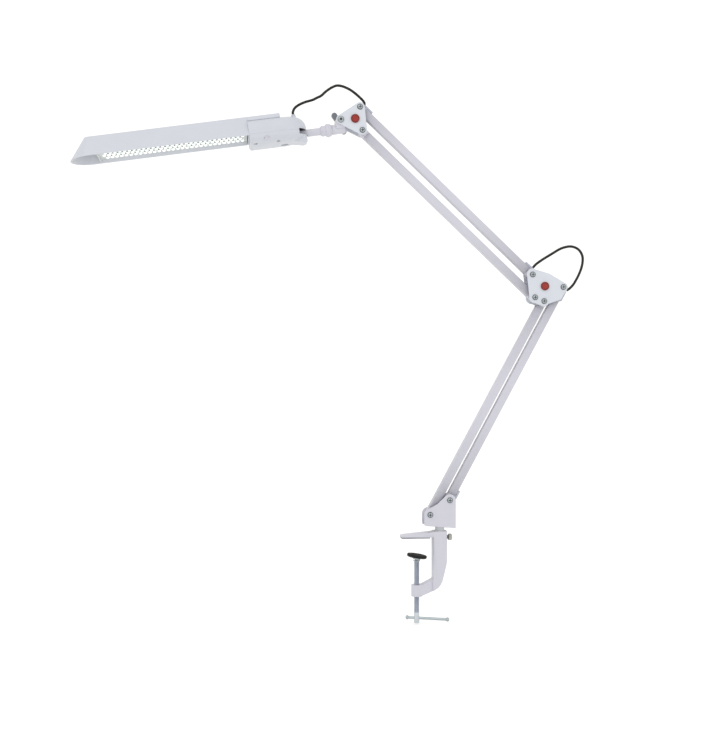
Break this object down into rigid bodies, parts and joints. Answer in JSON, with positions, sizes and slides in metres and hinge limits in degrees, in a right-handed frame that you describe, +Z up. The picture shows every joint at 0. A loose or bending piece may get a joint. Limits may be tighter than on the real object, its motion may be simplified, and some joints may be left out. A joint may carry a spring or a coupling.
{
  "type": "clamp lamp",
  "caption": "Table clamp lamp with two sprung parallelogram arms of square tube, a sloping trough shaped LED head on a tilting neck and a screw clamp.",
  "frame": {"origin": "on the clamp screw axis at the underside of the jaw rubber, where the table top is gripped", "axes": "+X along the arms away from the head, +Y across the lamp away from the viewer, +Z up"},
  "size_m": [0.7706, 0.074, 0.8088],
  "materials": {
    "paint": "satin powder coat",
    "plate_paint": "satin powder coat",
    "zinc": "bright zinc",
    "steel": "plain",
    "nylon": "plain",
    "plug_plastic": "plain",
    "guide_plastic": "plain",
    "black_rubber": "matt",
    "jaw_rubber": "matt",
    "red_plastic": "gloss",
    "lock_metal": "dark",
    "wing_plastic": "plain",
    "housing_plastic": "satin",
    "shade_paint": "satin powder coat",
    "alu": "white coat",
    "led": "frosted",
    "board": "plain",
    "cord": "matt"
  },
  "bodies": {
    "clamp": {"clamp_frame": "paint", "jaw_pad": "jaw_rubber", "swivel_washer": "nylon"},
    "screw_seat": {"thrust_washer": "steel"},
    "screw": {"clamp_screw": "zinc"},
    "bar": {"tommy_bar": "zinc"},
    "pad": {"pad_cup": "zinc", "pad_rubber": "black_rubber"},
    "lock": {"lock_screw": "lock_metal"},
    "base": {"swivel_post": "steel", "base_bracket": "paint", "base_screws": "zinc", "base_nuts": "zinc", "base_washers": "nylon"},
    "lower_left": {"lower_left_tube": "paint", "lower_left_ends": "plug_plastic"},
    "lower_right": {"lower_right_tube": "paint", "lower_right_ends": "plug_plastic", "lower_guides": "guide_plastic", "lower_spring": "steel"},
    "elbow": {"elbow_front_plate": "plate_paint", "elbow_back_plate": "plate_paint", "elbow_spacer": "steel", "elbow_caps": "red_plastic", "elbow_screws": "zinc", "elbow_nuts": "zinc", "elbow_washers": "nylon", "elbow_cord": "cord"},
    "upper_top": {"upper_top_tube": "paint", "upper_top_ends": "plug_plastic", "upper_guides": "guide_plastic", "upper_spring": "steel"},
    "upper_bottom": {"upper_bottom_tube": "paint", "upper_bottom_ends": "plug_plastic"},
    "head_bracket": {"head_front_plate": "plate_paint", "head_back_plate": "plate_paint", "head_spacer": "steel", "head_caps": "red_plastic", "head_screws": "zinc", "head_nuts": "zinc", "head_washers": "nylon", "tilt_bolt": "zinc", "head_cord_rear": "cord"},
    "wing": {"wing_nut": "wing_plastic"},
    "neck": {"neck_socket": "paint", "neck_collar": "paint"},
    "rod": {"neck_rod": "paint"},
    "head": {"head_shade": "shade_paint", "housing_top": "housing_plastic", "housing_bottom": "housing_plastic", "led_board": "alu", "leds": "led", "driver_board": "board", "cable_gland": "housing_plastic", "swivel_pin": "steel", "housing_screws": "zinc", "head_cord_front": "cord"},
    "button": {"power_button": "plug_plastic"}
  },
  "joints": [
    {"name": "screw_slide", "type": "slide", "parent": "clamp", "child": "screw_seat", "axis": [0, 0, 1], "range_m": [-0.03, 0.0195]},
    {"name": "screw_turn", "type": "hinge", "parent": "screw_seat", "child": "screw", "pos_m": [0, 0, -0.03], "axis": [0, 0, 1], "range_deg": [-8641, 5617]},
    {"name": "bar_slide", "type": "slide", "parent": "screw", "child": "bar", "axis": [0.9336, -0.3584, 0], "range_m": [-0.0403, 0.0077]},
    {"name": "pad_tilt", "type": "hinge", "parent": "screw_seat", "child": "pad", "pos_m": [0, 0, -0.03], "axis": [0, 1, 0], "range_deg": [-19.7, 2.3]},
    {"name": "lock_turn", "type": "hinge", "parent": "clamp", "child": "lock", "pos_m": [0.045, 0, 0.0008], "axis": [1, 0, 0], "continuous": true},
    {"name": "base_swivel", "type": "hinge", "parent": "clamp", "child": "base", "pos_m": [0.035, 0, 0.0113], "axis": [0, 0, 1], "continuous": true},
    {"name": "lower_arm", "type": "hinge", "parent": "base", "child": "lower_right", "pos_m": [0.04876, 0, 0.05741], "axis": [0, 1, 0], "range_deg": [-75, 6]},
    {"name": "lower_left_pivot", "type": "hinge", "parent": "base", "child": "lower_left", "pos_m": [0.01885, 0, 0.0358], "axis": [0, 1, 0], "range_deg": [-75, 6]},
    {"name": "elbow_level", "type": "hinge", "parent": "lower_right", "child": "elbow", "pos_m": [0.22397, 0, 0.37943], "axis": [0, 1, 0], "range_deg": [-6, 75]},
    {"name": "upper_arm", "type": "hinge", "parent": "elbow", "child": "upper_top", "pos_m": [0.17627, 0, 0.39813], "axis": [0, 1, 0], "range_deg": [-75, 19], "deforming": ["elbow_cord"]},
    {"name": "upper_bottom_pivot", "type": "hinge", "parent": "elbow", "child": "upper_bottom", "pos_m": [0.17997, 0, 0.36353], "axis": [0, 1, 0], "range_deg": [-75, 19]},
    {"name": "head_level", "type": "hinge", "parent": "upper_top", "child": "head_bracket", "pos_m": [-0.08718, 0, 0.64553], "axis": [0, 1, 0], "range_deg": [-19, 75], "deforming": ["head_cord_rear"]},
    {"name": "wing_turn", "type": "hinge", "parent": "head_bracket", "child": "wing", "pos_m": [-0.11588, 0.018, 0.62603], "axis": [0, 1, 0], "continuous": true},
    {"name": "head_tilt", "type": "hinge", "parent": "head_bracket", "child": "neck", "pos_m": [-0.11588, 0, 0.62603], "axis": [0, 1, 0], "range_deg": [-40, 60], "deforming": ["head_cord_front"]},
    {"name": "neck_twist", "type": "hinge", "parent": "neck", "child": "rod", "pos_m": [-0.11411, 0, 0.61416], "axis": [0.989, 0, 0.1478], "range_deg": [-90, 90]},
    {"name": "head_swivel", "type": "hinge", "parent": "rod", "child": "head", "pos_m": [-0.20065, 0, 0.60123], "axis": [-0.1478, 0, 0.989], "range_deg": [-38, 38]},
    {"name": "button_press", "type": "slide", "parent": "head", "child": "button", "axis": [-0.1046, 0.7068, 0.6996], "range_m": [0, 0.0012], "stiffness_N_per_m": 400}
  ],
  "couplings": [
    {"joint": "screw_turn", "follows": "screw_slide", "rad_per_m": 5026.5},
    {"joint": "lower_left_pivot", "follows": "lower_arm", "ratio": 1},
    {"joint": "elbow_level", "follows": "lower_arm", "ratio": -1},
    {"joint": "upper_bottom_pivot", "follows": "upper_arm", "ratio": 1},
    {"joint": "head_level", "follows": "upper_arm", "ratio": -1}
  ]
}
